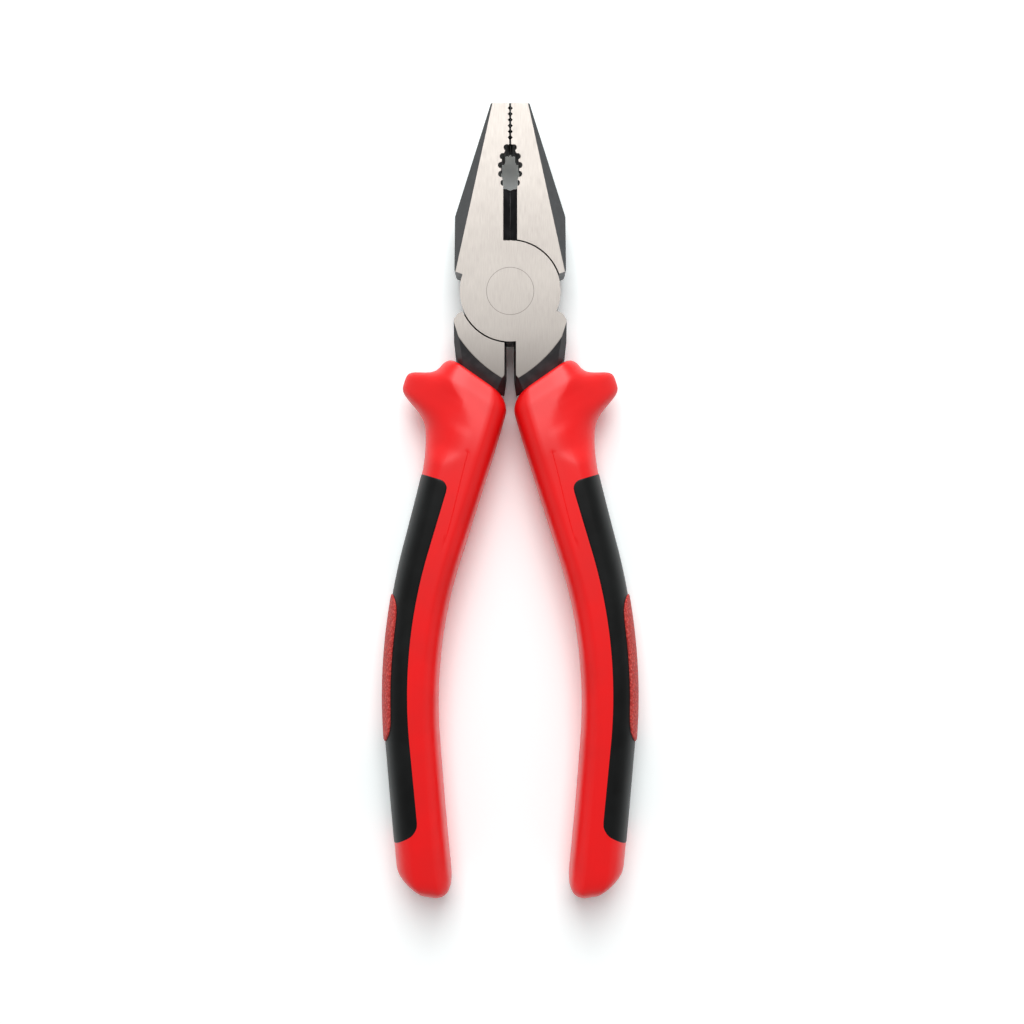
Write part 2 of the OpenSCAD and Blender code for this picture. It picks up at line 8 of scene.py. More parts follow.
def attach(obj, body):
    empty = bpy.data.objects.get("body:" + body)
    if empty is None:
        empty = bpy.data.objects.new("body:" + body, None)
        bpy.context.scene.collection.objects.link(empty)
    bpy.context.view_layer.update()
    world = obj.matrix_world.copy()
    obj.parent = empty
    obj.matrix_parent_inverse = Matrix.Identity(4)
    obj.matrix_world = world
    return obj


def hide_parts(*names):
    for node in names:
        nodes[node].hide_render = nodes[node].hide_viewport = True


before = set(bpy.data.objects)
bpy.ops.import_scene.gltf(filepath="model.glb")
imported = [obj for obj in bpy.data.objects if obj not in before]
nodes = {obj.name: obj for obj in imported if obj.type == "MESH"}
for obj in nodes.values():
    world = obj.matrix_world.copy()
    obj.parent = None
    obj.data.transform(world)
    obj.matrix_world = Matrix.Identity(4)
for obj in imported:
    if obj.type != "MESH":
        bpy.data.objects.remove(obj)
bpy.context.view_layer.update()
mm = 0.001
print("frame loaded:", len(nodes), "nodes")

# the pivot's place in the frame; the grips are drawn from it, as in the part's source
pivot = {"y": 53.06, "z": 8.6}


# sRGB hex to the linear colour that the sockets take
def linear(hexColour):
    parts = [int(hexColour[i:i + 2], 16) / 255 for i in (1, 3, 5)]
    return [c / 12.92 if c <= 0.04045 else ((c + 0.055) / 1.055) ** 2.4 for c in parts] + [1]


# adds a node, sets its options, and sets or links its sockets
def addNode(tree, kind, sockets=None, **options):
    node = tree.nodes.new(kind)
    for name, value in options.items():
        setattr(node, name, value)
    for name, value in (sockets or {}).items():
        if isinstance(value, bpy.types.NodeSocket):
            tree.links.new(value, node.inputs[name])
        else:
            node.inputs[name].default_value = value
    return node


def newMaterial(name):
    material = bpy.data.materials.new(name)
    material.use_nodes = True
    tree = material.node_tree
    shader = tree.nodes["Principled BSDF"]
    place = addNode(tree, "ShaderNodeTexCoord").outputs["Object"]
    return material, tree, shader, place


# forged carbon steel, ground on its two flat faces and blackened by oil quenching everywhere else:
# pale warm faces with fine lines along the tool, and dark satin bevels, ramps and slots
steelLook = {
    "ground": "#b7b1ab", "groundDull": "#9f9994", "neck": "#938d88",
    "black": "#29292b", "blackWorn": "#3c3c3e",
    "faceUp": 5.45, "neckFrom": -9.0, "neckTo": -20.0,  # mm from the pivot
    "ringR": 5.9, "ringW": 0.07, "ringDark": 0.5,
    "lineW": 0.22, "lineLen": 3.2, "patch": 14.0, "scale": 2.5,  # mm
    "streakShare": 0.5, "patchShare": 0.3,
    "groundRough": 0.39, "blackRough": 0.4, "roughRange": 0.1, "bump": 0.06, "bumpUp": 0.02,
}


def makeSteel():
    look = steelLook
    material, tree, shader, place = newMaterial("groundForgedSteel")
    fromPivot = addNode(tree, "ShaderNodeVectorMath", {0: place, 1: (0, -pivot["y"] * mm, -pivot["z"] * mm)},
                        operation="ADD").outputs[0]
    xyz = addNode(tree, "ShaderNodeSeparateXYZ", {0: fromPivot}).outputs
    up = addNode(tree, "ShaderNodeMath", {0: xyz["Z"]}, operation="ABSOLUTE").outputs[0]
    face = addNode(tree, "ShaderNodeMath", {0: up, 1: look["faceUp"] * mm},
                   operation="GREATER_THAN").outputs[0]
    # grinding lines, drawn three times as wide as real ones so that they show
    lineScale = (1 / (look["lineW"] * mm), 1 / (look["lineLen"] * mm), 1)
    lines = addNode(tree, "ShaderNodeMapping", {0: fromPivot, "Scale": lineScale}).outputs[0]
    fine = addNode(tree, "ShaderNodeTexNoise",
                   {"Vector": lines, "Scale": 1.0, "Detail": 3.0, "Roughness": 0.6})
    broad = addNode(tree, "ShaderNodeTexNoise",
                    {"Vector": fromPivot, "Scale": 1 / (look["patch"] * mm), "Detail": 2.0})
    streak = addNode(tree, "ShaderNodeMapRange", {0: fine.outputs[0], 1: 0.2, 2: 0.8}).outputs[0]
    patch = addNode(tree, "ShaderNodeMapRange",
                    {0: broad.outputs[0], 1: 0.3, 2: 0.7, 3: 0.0, 4: look["patchShare"]}).outputs[0]
    dull = addNode(tree, "ShaderNodeMath", {0: streak, 1: look["streakShare"], 2: patch},
                   operation="MULTIPLY_ADD").outputs[0]
    evenColour = addNode(tree, "ShaderNodeMix",
                         {0: dull, 6: linear(look["ground"]), 7: linear(look["groundDull"])},
                         data_type="RGBA").outputs[2]
    # the ground face's colour darkens towards the neck tips
    tip = addNode(tree, "ShaderNodeMapRange",
                  {0: xyz["Y"], 1: look["neckFrom"] * mm, 2: look["neckTo"] * mm}).outputs[0]
    groundColour = addNode(tree, "ShaderNodeMix", {0: tip, 6: evenColour, 7: linear(look["neck"])},
                           data_type="RGBA").outputs[2]
    # the flush rivet's thin dark outline
    flat = addNode(tree, "ShaderNodeCombineXYZ", {"X": xyz["X"], "Y": xyz["Y"]}).outputs[0]
    away = addNode(tree, "ShaderNodeVectorMath", {0: flat}, operation="LENGTH").outputs["Value"]
    ring = addNode(tree, "ShaderNodeMath", {0: away, 1: look["ringR"] * mm, 2: look["ringW"] * mm},
                   operation="COMPARE").outputs[0]
    ringShade = addNode(tree, "ShaderNodeMath", {0: ring, 1: look["ringDark"]},
                        operation="MULTIPLY").outputs[0]
    ringed = addNode(tree, "ShaderNodeMix", {0: ringShade, 6: groundColour, 7: linear(look["black"])},
                     data_type="RGBA").outputs[2]
    # forging scale, rubbed paler in places
    scale = addNode(tree, "ShaderNodeTexNoise",
                    {"Vector": fromPivot, "Scale": 1 / (look["scale"] * mm), "Detail": 4.0})
    worn = addNode(tree, "ShaderNodeMapRange", {0: scale.outputs[0], 1: 0.45, 2: 0.75}).outputs[0]
    blackColour = addNode(tree, "ShaderNodeMix",
                          {0: worn, 6: linear(look["black"]), 7: linear(look["blackWorn"])},
                          data_type="RGBA").outputs[2]
    colour = addNode(tree, "ShaderNodeMix", {0: face, 6: blackColour, 7: ringed}, data_type="RGBA").outputs[2]
    groundRough = addNode(tree, "ShaderNodeMath", {0: streak, 1: look["roughRange"], 2: look["groundRough"]},
                          operation="MULTIPLY_ADD").outputs[0]
    blackRough = addNode(tree, "ShaderNodeMath", {0: worn, 1: look["roughRange"], 2: look["blackRough"]},
                         operation="MULTIPLY_ADD").outputs[0]
    rough = addNode(tree, "ShaderNodeMix", {0: face, 2: blackRough, 3: groundRough}).outputs[0]
    height = addNode(tree, "ShaderNodeMix", {0: face, 2: scale.outputs[0], 3: fine.outputs[0]}).outputs[0]
    bump = addNode(tree, "ShaderNodeBump",
                   {"Strength": look["bump"], "Distance": look["bumpUp"] * mm, "Height": height}).outputs[0]
    for socket, value in (("Base Color", colour), ("Metallic", face), ("Roughness", rough), ("Normal", bump)):
        tree.links.new(value, shader.inputs[socket])
    return material


# moulded polypropylene: strong red with a satin skin and a very fine grain
redLook = {
    "colour": "#fa0d10", "deep": "#f00a0c",
    "flow": 11.0, "grain": 0.35,  # mm
    "rough": 0.38, "roughRange": 0.12, "specular": 0.58, "ior": 1.49, "bump": 0.12, "bumpUp": 0.02,
}


def makeRed():
    look = redLook
    material, tree, shader, place = newMaterial("redMouldedPolypropylene")
    flow = addNode(tree, "ShaderNodeTexNoise",
                   {"Vector": place, "Scale": 1 / (look["flow"] * mm), "Detail": 2.0})
    tone = addNode(tree, "ShaderNodeMapRange", {0: flow.outputs[0], 1: 0.35, 2: 0.7}).outputs[0]
    colour = addNode(tree, "ShaderNodeMix", {0: tone, 6: linear(look["colour"]), 7: linear(look["deep"])},
                     data_type="RGBA").outputs[2]
    grain = addNode(tree, "ShaderNodeTexNoise",
                    {"Vector": place, "Scale": 1 / (look["grain"] * mm), "Detail": 2.0})
    leastRough = look["rough"] - look["roughRange"] / 2
    rough = addNode(tree, "ShaderNodeMath", {0: flow.outputs[0], 1: look["roughRange"], 2: leastRough},
                    operation="MULTIPLY_ADD").outputs[0]
    bump = addNode(tree, "ShaderNodeBump",
                   {"Strength": look["bump"], "Distance": look["bumpUp"] * mm, "Height": grain.outputs[0]})
    shader.inputs["Specular IOR Level"].default_value = look["specular"]
    shader.inputs["IOR"].default_value = look["ior"]
    for socket, value in (("Base Color", colour), ("Roughness", rough), ("Normal", bump.outputs[0])):
        tree.links.new(value, shader.inputs[socket])
    return material


# soft moulded thermoplastic rubber: near black, matt, with a dusty bloom where it is handled
rubberLook = {
    "colour": "#0b0c0c", "bloom": "#121414",
    "bloomSize": 7.0, "grain": 0.4,  # mm
    "rough": 0.44, "roughRange": 0.14, "specular": 0.23, "bump": 0.2, "bumpUp": 0.03,
}


def makeRubber():
    look = rubberLook
    material, tree, shader, place = newMaterial("blackThermoplasticRubber")
    bloom = addNode(tree, "ShaderNodeTexNoise",
                    {"Vector": place, "Scale": 1 / (look["bloomSize"] * mm), "Detail": 4.0})
    tone = addNode(tree, "ShaderNodeMapRange", {0: bloom.outputs[0], 1: 0.4, 2: 0.7}).outputs[0]
    colour = addNode(tree, "ShaderNodeMix", {0: tone, 6: linear(look["colour"]), 7: linear(look["bloom"])},
                     data_type="RGBA").outputs[2]
    grain = addNode(tree, "ShaderNodeTexNoise",
                    {"Vector": place, "Scale": 1 / (look["grain"] * mm), "Detail": 3.0})
    leastRough = look["rough"] - look["roughRange"] / 2
    rough = addNode(tree, "ShaderNodeMath", {0: bloom.outputs[0], 1: look["roughRange"], 2: leastRough},
                    operation="MULTIPLY_ADD").outputs[0]
    bump = addNode(tree, "ShaderNodeBump",
                   {"Strength": look["bump"], "Distance": look["bumpUp"] * mm, "Height": grain.outputs[0]})
    shader.inputs["Specular IOR Level"].default_value = look["specular"]
    for socket, value in (("Base Color", colour), ("Roughness", rough), ("Normal", bump.outputs[0])):
        tree.links.new(value, shader.inputs[socket])
    return material


# spark-eroded stipple in a dull red rubber: small round bumps, with painted shade in the hollows between them
# and painted highlight specks scattered at random
stippleLook = {
    "colour": "#e0453c", "paintedHollowShade": "#b52c28", "tip": "#e66c62",
    "dot": 0.75, "speck": 0.5,  # mm
    "paintedHighlightShare": 0.8, "rough": 0.6, "specular": 0.4, "bump": 0.9, "bumpUp": 0.15,
}


def makeStipple():
    look = stippleLook
    material, tree, shader, place = newMaterial("stippledRedRubber")
    dots = addNode(tree, "ShaderNodeTexVoronoi", {"Vector": place, "Scale": 1 / (look["dot"] * mm)})
    raised = addNode(tree, "ShaderNodeMapRange",
                     {0: dots.outputs["Distance"], 1: 0.15, 2: 0.6, 3: 1.0, 4: 0.0}).outputs[0]
    # the darker colour between the bumps is painted shade in the hollows, not a darker rubber
    low = addNode(tree, "ShaderNodeMix", {0: raised, 6: linear(look["paintedHollowShade"]), 7: linear(look["colour"])},
                  data_type="RGBA").outputs[2]
    # pale specks placed at random by noise: the tip colour is a painted highlight
    speck = addNode(tree, "ShaderNodeTexNoise",
                    {"Vector": place, "Scale": 1 / (look["speck"] * mm), "Detail": 2.0})
    paintedHighlightMask = addNode(tree, "ShaderNodeMapRange",
                     {0: speck.outputs[0], 1: 0.5, 2: 0.75, 3: 0.0, 4: look["paintedHighlightShare"]}).outputs[0]
    colour = addNode(tree, "ShaderNodeMix", {0: paintedHighlightMask, 6: low, 7: linear(look["tip"])},
                     data_type="RGBA").outputs[2]
    bump = addNode(tree, "ShaderNodeBump",
                   {"Strength": look["bump"], "Distance": look["bumpUp"] * mm, "Height": raised})
    shader.inputs["Roughness"].default_value = look["rough"]
    shader.inputs["Specular IOR Level"].default_value = look["specular"]
    for socket, value in (("Base Color", colour), ("Normal", bump.outputs[0])):
        tree.links.new(value, shader.inputs[socket])
    return material


steel, red, rubber, stipple = makeSteel(), makeRed(), makeRubber(), makeStipple()
print("materials made")

for name in ("front_half", "rear_half", "pivot_rivet"):
    nodes[name].data.materials.clear()
    nodes[name].data.materials.append(steel)
print("steel on the halves and the rivet")

# the grip's own line: straight, one bend, straight again, in mm from the pivot
gripLine = {"collarX": 7.3, "collarY": -21.9, "splay": 16.6, "straight": 45.0, "bendR": 125.0, "toeIn": 5.5,
            "length": 133.1}
bendLen = gripLine["bendR"] * radians(gripLine["splay"] + gripLine["toeIn"])
palmS = gripLine["straight"] + bendLen / 2


def along(angle):
    return sin(radians(angle)), -cos(radians(angle))


def across(angle):
    return cos(radians(angle)), sin(radians(angle))


def lineAngle(s):
    if s < gripLine["straight"]:
        return gripLine["splay"]
    bent = degrees((s - gripLine["straight"]) / gripLine["bendR"])
    return max(-gripLine["toeIn"], gripLine["splay"] - bent)


def linePoint(s):
    first = min(s, gripLine["straight"])
    ax, ay = along(gripLine["splay"])
    x, y = gripLine["collarX"] + first * ax, gripLine["collarY"] + first * ay
    if s > gripLine["straight"]:
        a, b = across(gripLine["splay"]), across(lineAngle(s))
        x, y = x + gripLine["bendR"] * (b[0] - a[0]), y + gripLine["bendR"] * (b[1] - a[1])
        rest = max(0, s - gripLine["straight"] - bendLen)
        ax, ay = along(-gripLine["toeIn"])
        x, y = x + rest * ax, y + rest * ay
    return x, y


# curve through rows of (position, value) that never overshoots a row
def smooth(rows, s):
    i = max([k for k in range(len(rows) - 1) if s >= rows[k][0]] or [0])

    def rise(k):
        return (rows[k + 1][1] - rows[k][1]) / (rows[k + 1][0] - rows[k][0])

    def slope(k):
        if k == 0 or k == len(rows) - 1 or rise(k - 1) * rise(k) <= 0:
            return 0
        return 2 * rise(k - 1) * rise(k) / (rise(k - 1) + rise(k))

    d = rows[i + 1][0] - rows[i][0]
    u = min(1, (s - rows[i][0]) / d)
    v = 1 - u
    return (rows[i][1] * v * v * (1 + 2 * u) + rows[i + 1][1] * u * u * (1 + 2 * v)
            + d * u * v * (v * slope(i) - u * slope(i + 1)))


# the red body's section along that line, in mm and degrees, and how finely it is divided
gripBody = {
    "halfT": 8.5, "collarHalfT": 6.5, "domeHalfT": 7.4, "domeS": 4.5, "fullS": 19.0,
    "rake": 35.0, "rakeLen": 27.0, "collarEdge": 0.8, "collarOuterR": 2.8, "collarInnerR": 4.0,
    "collarOut": 10.8, "waistOut": 7.7, "palmOut": 6.6, "heelOut": 7.0,
    "collarIn": 8.7, "waistIn": 8.3, "palmIn": 7.5, "heelIn": 6.6,
    "heelLen": 11.0, "heelSlant": 15.0, "heelEnd": 0.925,
    "heelCurve": 3.2, "heelInCurve": 7, "heelTopCurve": 8, "heelFacetCurve": 4,
    "facet": 3.6, "round": 5.6, "fullness": 0.94, "lugFullness": 1.15, "rollEdge": 0.05,
    "lugH": 8.29, "lugS": 9.7, "lugW": 3.9, "lugSquare": 4.3, "lugRound": 0.66, "seamHalfW": 0.1,
    "gateSteps": ((0.8, 0), (1, 0.21), (0.85, 0.09)),  # share of the ring before, and push outwards
    "sideSteps": 10, "flatSteps": 4, "heelSteps": 18,
    "collarStep": 0.55, "rowStep": 1.4, "heelStep": 1.2, "sharpAngle": 38.0,
}
# the black insert, let into the body's outer side
gripInsert = {
    "top": 27.0, "end": 115.0, "slant": 25.0, "cornerR": 2.3, "edge": 0.1, "depth": 1.5, "proud": 0.1,
    "rim": 0.4, "rimRun": 2.6, "seam": 0.04,
}
# the pad, let into the insert
gripPad = {
    "middle": 74.5, "length": 34.0, "height": 14.4, "square": 11, "reach": 0.97, "depth": 0.9, "proud": 0.39,
    "rimRun": 2.4, "seam": 0.04,
}

heelS = gripLine["length"] - gripBody["heelLen"]
padTop, padEnd = gripPad["middle"] - gripPad["length"] / 2, gripPad["middle"] + gripPad["length"] / 2
outerRows = [
    (0, gripBody["collarOut"]), (gripBody["lugS"], gripBody["collarOut"]),
    (gripBody["rakeLen"], gripBody["waistOut"]), (palmS, gripBody["palmOut"]),
    (heelS, gripBody["heelOut"]), (gripLine["length"], gripBody["heelOut"]),
]
innerRows = [
    (0, gripBody["collarIn"]), (gripBody["rakeLen"], gripBody["waistIn"]), (palmS, gripBody["palmIn"]),
    (heelS, gripBody["heelIn"]), (gripLine["length"], gripBody["heelIn"]),
]
thickRows = [
    (0, gripBody["collarHalfT"]), (gripBody["domeS"], gripBody["domeHalfT"]),
    (gripBody["fullS"], gripBody["halfT"]), (heelS, gripBody["halfT"]),
    (gripLine["length"], gripBody["halfT"]),
]
leanRows = [
    (0, 0), (gripPad["middle"], 0), (gripInsert["end"], -gripInsert["slant"]),
    (gripLine["length"], gripBody["heelSlant"]),
]
# how much wider the outer side rolls off behind the guard lug
rollRows = [
    (0, 0), (4.3, 0.2), (8, 6.3), (12, 8.8), (15, 6.6), (18.7, 5.2), (24, 0.4), (gripInsert["top"], 0),
]
# the fine mould line on the flat: its place across the grip and its depth
seamRows = [(0, -2.2), (18.5, -2.3), (40, -3.1), (60, -2.4), (heelS, -1.6), (gripLine["length"], -1.6)]
seamDepth = [(0, 0), (17.9, 0), (18.3, 0.1), (40, 0.1), (43, 0)]
# the inner side from lip to flat top, as shares of the facet's width and of the half thickness
facetAcross = [(0, 0), (0.25, 0.02), (0.5, 0.08), (0.72, 0.22), (0.9, 0.75), (1, 1)]
facetUp = [(0, 0), (0.25, 0.26), (0.5, 0.52), (0.72, 0.72), (0.9, 0.95), (1, 1)]
facetSteps = (1, 0.975, 0.95, 0.92, 0.88, 0.83, 0.77, 0.7, 0.62, 0.53, 0.43, 0.32, 0.2, 0.09)
# where a section has points: in mm from the insert's edge, and as shares of the pad's half height
rimGaps = (0, 0.12, 0.4)
padShares = (1, 0.98, 0.935, 0.85, 0.74, 0.62, 0.5, 0.38, 0.25, 0.12, 0)
padShares = padShares + tuple(-t for t in reversed(padShares[:-1]))


def heelShare(s, power):
    return 1 - max(0, (s - heelS) / gripBody["heelLen"]) ** power


def lug(s):
    return gripBody["lugH"] / (1 + (abs(s - gripBody["lugS"]) / gripBody["lugW"]) ** gripBody["lugSquare"])


# what a rounding of radius r takes off at the collar's mouth
def mouthCut(s, r):
    return r * (1 - sqrt(1 - max(0, 1 - s / r) ** 2))


def outerW(s):
    width = (smooth(outerRows, s) + lug(s)) * heelShare(s, gripBody["heelCurve"])
    return width - mouthCut(s, gripBody["collarOuterR"])


def innerW(s):
    width = smooth(innerRows, s) * heelShare(s, gripBody["heelInCurve"])
    return width - mouthCut(s, gripBody["collarInnerR"])


def halfThick(s):
    thick = smooth(thickRows, s) * heelShare(s, gripBody["heelTopCurve"])
    return thick - mouthCut(s, gripBody["collarEdge"])


def rounding(s):
    return (gripBody["round"] * heelShare(s, gripBody["heelCurve"]) + gripBody["lugRound"] * lug(s)
            + smooth(rollRows, s) - mouthCut(s, gripBody["collarOuterR"]))


def facetW(s):
    mouth = mouthCut(s, gripBody["collarInnerR"]) / smooth(innerRows, s)
    return gripBody["facet"] * (heelShare(s, gripBody["heelFacetCurve"]) - mouth)


def fullness(s):
    gain = gripBody["lugFullness"] - gripBody["fullness"]
    return gripBody["fullness"] + gain * lug(s) / gripBody["lugH"]


# the roll-off meets the flat at a slope, so its edge shows
def edgeFullness(s):
    return fullness(s) + gripBody["rollEdge"] * smooth(rollRows, s)


# the outer side's curve: 0 is its middle, 90 the edge of the flat top and -90 that of the underside
def outerPoint(s, grow, angle):
    a = radians(angle)
    up = (halfThick(s) + grow) * abs(sin(a)) ** fullness(s)
    return (outerW(s) - rounding(s) + (rounding(s) + grow) * max(0, cos(a)) ** edgeFullness(s),
            up if angle >= 0 else -up)


def angleAcross(s, grow, x):
    u = (x - outerW(s) + rounding(s)) / (rounding(s) + grow)
    return 90 if u <= 0 else degrees(acos(min(u, 1) ** (1 / edgeFullness(s))))


def edgePoint(s, grow, x, sign):
    return x, sign * outerPoint(s, grow, angleAcross(s, grow, x))[1]


# inner edge of the insert, with a round corner at each end
def insertEdge(s):
    s = max(gripInsert["top"], min(gripInsert["end"], s))
    d = min(s - gripInsert["top"], gripInsert["end"] - s) / gripInsert["cornerR"]
    return gripInsert["edge"] + gripInsert["cornerR"] * (1 - sqrt(1 - max(0, 1 - d) ** 2))


def padHalf(s):
    u = min(1, abs(s - gripPad["middle"]) / (gripPad["length"] / 2)) * gripPad["reach"]
    return gripPad["height"] / 2 * sqrt(1 - u ** gripPad["square"])


def padAngle(s):
    up = padHalf(s) * halfThick(s) / gripBody["halfT"]
    return degrees(asin((up / (halfThick(s) + gripInsert["proud"])) ** (1 / fullness(s))))


# how far a rounded rim has risen at a distance from its edge, from 0 to 1
def rimRise(distance):
    return sqrt(1 - max(0, 1 - max(0, distance) / gripInsert["rim"]) ** 2)


def insertGrow(s, gap):
    ends = min(s - gripInsert["top"], gripInsert["end"] - s)
    return gripInsert["proud"] * rimRise(min(gap, ends))


def padGrow(s, share):
    ends = min(s - padTop, padEnd - s, (1 - abs(share)) * padHalf(s))
    return gripInsert["proud"] + gripPad["proud"] * rimRise(ends)


# one closed ring of the section: outer side from the insert's upper edge to its lower edge, then the
# underside, the inner facets and lip, and the top
def ringAt(s, sideGrow=None, middleGrow=None):
    sideGrow = sideGrow or (lambda s, gap: 0)
    middleGrow = middleGrow or (lambda s, share: sideGrow(s, gripBody["halfT"]))
    share = heelShare(s, gripBody["heelCurve"])
    edge = insertEdge(s) * share

    def side(sign):
        points = [edgePoint(s, sideGrow(s, gap), edge + gap * share, sign) for gap in rimGaps]
        full = sideGrow(s, gripBody["halfT"])  # well clear of the rim
        start, stop = angleAcross(s, full, edge + rimGaps[-1] * share), padAngle(s)
        steps = gripBody["sideSteps"]
        angles = [sign * (start + (stop - start) * k / steps) for k in range(1, steps)]
        return points + [outerPoint(s, full, angle) for angle in angles]

    middle = [outerPoint(s, middleGrow(s, t), padAngle(s) * t) for t in padShares]
    n, up, f = innerW(s), halfThick(s), facetW(s)
    inner = [(smooth(facetAcross, t) * f - n, -smooth(facetUp, t) * up) for t in facetSteps]
    seam = smooth(seamRows, s) * share
    near, far = seam + gripBody["seamHalfW"], seam - gripBody["seamHalfW"]
    count = gripBody["flatSteps"]
    flatX = [edge + (near - edge) * k / count for k in range(1, count + 1)] + [far, (far + inner[0][0]) / 2]
    flat = [edgePoint(s, 0, x, -1) for x in flatX]
    flat.insert(count, (seam, smooth(seamDepth, s) - edgePoint(s, 0, seam, 1)[1]))
    under = flat + inner
    return side(1) + middle + side(-1)[::-1] + under + [(-n, 0)] + [(x, -z) for x, z in under[::-1]]


sideCount = len(rimGaps) + gripBody["sideSteps"] - 1
outerCount = 2 * sideCount + len(padShares)


def spread(start, stop, step):
    count = max(1, round((stop - start) / step))
    return [start + (stop - start) * k / count for k in range(count)]


# rows of sections: close together at the mouth and at each rim, in mm along the grip
mouthShares = (0, 0.012, 0.04, 0.085, 0.15, 0.23, 0.33, 0.46, 0.62, 0.8)
rimSteps = (0, 0.12, 0.4, 0.8, 1.2, 1.6)
rowStep = gripBody["rowStep"]
padFirst, padLast = padTop + gripPad["rimRun"], padEnd - gripPad["rimRun"]
insertFirst, insertLast = gripInsert["top"] + gripInsert["rimRun"], gripInsert["end"] - gripInsert["rimRun"]
collarRows = ([gripBody["collarInnerR"] * share for share in mouthShares]
              + spread(gripBody["collarInnerR"], gripInsert["top"], gripBody["collarStep"]))
padRows = ([padTop + d for d in rimSteps] + spread(padFirst, padLast, rowStep) + [padLast]
           + [padEnd - d for d in rimSteps[::-1]])
insertRows = ([gripInsert["top"] + d for d in rimSteps] + spread(insertFirst, padTop, rowStep) + padRows
              + spread(padEnd + rowStep, insertLast, rowStep) + [insertLast]
              + [gripInsert["end"] - d for d in rimSteps[::-1]])
heelReach, heelSteps = gripBody["heelLen"] * gripBody["heelEnd"], gripBody["heelSteps"]
heelRows = (spread(gripInsert["end"] + gripBody["heelStep"], heelS, gripBody["heelStep"])
            + [heelS + heelReach * sin(pi / 2 * k / heelSteps) for k in range(heelSteps + 1)])


# a point of a section, placed in the frame; the left grip is the right one turned over
def placed(s, point, turn):
    lean = smooth(leanRows, s)
    rake = (gripBody["rake"] - gripLine["splay"]) * max(0, 1 - s / gripBody["rakeLen"])
    angle = lineAngle(s) + rake + lean
    x, y = linePoint(s)
    ax, ay = across(angle)
    w = point[0] / cos(radians(lean))
    return turn * (x + w * ax) * mm, (y + w * ay + pivot["y"]) * mm, (turn * point[1] + pivot["z"]) * mm


def ringEdges(ring):
    verts = set(ring)
    return list({e for v in ring for e in v.link_edges if e.other_vert(v) in verts})


# extrudes a ring and gives the new one, in the same order
def growRing(mesh, ring):
    grown = bmesh.ops.extrude_edge_only(mesh, edges=ringEdges(ring))["geom"]
    fresh = {g for g in grown if isinstance(g, bmesh.types.BMVert)}
    return [next(e.other_vert(v) for e in v.link_edges if e.other_vert(v) in fresh) for v in ring]


# pulls one ring out into a tube: each row is extruded from the last and moved to its own section
def pullTube(mesh, rows, turn, **grows):
    ring = bmesh.ops.create_circle(mesh, segments=len(ringAt(rows[0], **grows)), radius=mm)["verts"]
    rings = []
    for s in rows:
        if rings:
            ring = growRing(mesh, ring)
        for vert, point in zip(ring, ringAt(s, **grows)):
            vert.co = placed(s, point, turn)
        rings.append(ring)
    return rings


def facesOf(mesh, rings, rows, columns):
    verts = {rings[i][j] for i in rows for j in columns}
    return [f for f in mesh.faces if all(v in verts for v in f.verts)]


def finishPiece(mesh, name, material, body, node):
    data = bpy.data.meshes.new(name)
    mesh.to_mesh(data)
    mesh.free()
    for polygon in data.polygons:
        polygon.use_smooth = True
    data.set_sharp_from_angle(angle=radians(gripBody["sharpAngle"]))
    data.materials.append(material)
    piece = bpy.data.objects.new(name, data)
    bpy.context.scene.collection.objects.link(piece)
    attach(piece, body)
    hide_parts(node)


bodyRows = collarRows + insertRows + heelRows
insertSpan = range(len(collarRows), len(collarRows) + len(insertRows))
padRow = insertRows.index(padRows[0])
padSpan = range(padRow, padRow + len(padRows))
padColumns = range(sideCount, sideCount + len(padShares))


def makeBody(side, turn, body):
    mesh = bmesh.new()
    rings = pullTube(mesh, bodyRows, turn)
    # the heel ends in the small gate mark that moulding leaves
    endWay = along(-gripLine["toeIn"])
    ring = rings[-1]
    for share, push in gripBody["gateSteps"]:
        ring = growRing(mesh, ring)
        middle = sum((v.co for v in ring), Vector()) / len(ring)
        bmesh.ops.scale(mesh, vec=(share, share, share), space=Matrix.Translation(-middle), verts=ring)
        bmesh.ops.translate(mesh, vec=(turn * endWay[0] * push * mm, endWay[1] * push * mm, 0), verts=ring)
    for end in (rings[0], ring):
        bmesh.ops.contextual_create(mesh, geom=ringEdges(end))
    bmesh.ops.recalc_face_normals(mesh, faces=mesh.faces)
    pocket = facesOf(mesh, rings, insertSpan, range(outerCount))
    bmesh.ops.inset_region(mesh, faces=pocket, use_boundary=True, use_even_offset=True,
                           thickness=gripInsert["seam"] * mm, depth=-gripInsert["depth"] * mm)
    finishPiece(mesh, side + "GripBody", red, body, side + "_grip_body")


def makeInsert(side, turn, body):
    mesh = bmesh.new()
    rings = pullTube(mesh, insertRows, turn, sideGrow=insertGrow)
    keep = set(facesOf(mesh, rings, range(len(rings)), range(outerCount)))
    bmesh.ops.recalc_face_normals(mesh, faces=mesh.faces)
    pad = set(facesOf(mesh, rings, padSpan, padColumns))
    bmesh.ops.delete(mesh, geom=[f for f in mesh.faces if f not in keep], context="FACES")
    bmesh.ops.solidify(mesh, geom=list(keep), thickness=(gripInsert["depth"] - gripInsert["seam"]) * mm)
    bmesh.ops.inset_region(mesh, faces=list(pad), use_boundary=True, use_even_offset=True,
                           thickness=gripPad["seam"] * mm, depth=-gripPad["depth"] * mm)
    finishPiece(mesh, side + "GripInsert", rubber, body, side + "_grip_insert")


def makePad(side, turn, body):
    mesh = bmesh.new()
    rings = pullTube(mesh, padRows, turn, sideGrow=lambda s, gap: gripInsert["proud"], middleGrow=padGrow)
    keep = set(facesOf(mesh, rings, range(len(rings)), padColumns))
    bmesh.ops.recalc_face_normals(mesh, faces=mesh.faces)
    bmesh.ops.delete(mesh, geom=[f for f in mesh.faces if f not in keep], context="FACES")
    bmesh.ops.solidify(mesh, geom=list(keep), thickness=(gripPad["depth"] - gripPad["seam"]) * mm)
    finishPiece(mesh, side + "GripPad", stipple, body, side + "_grip_pad")


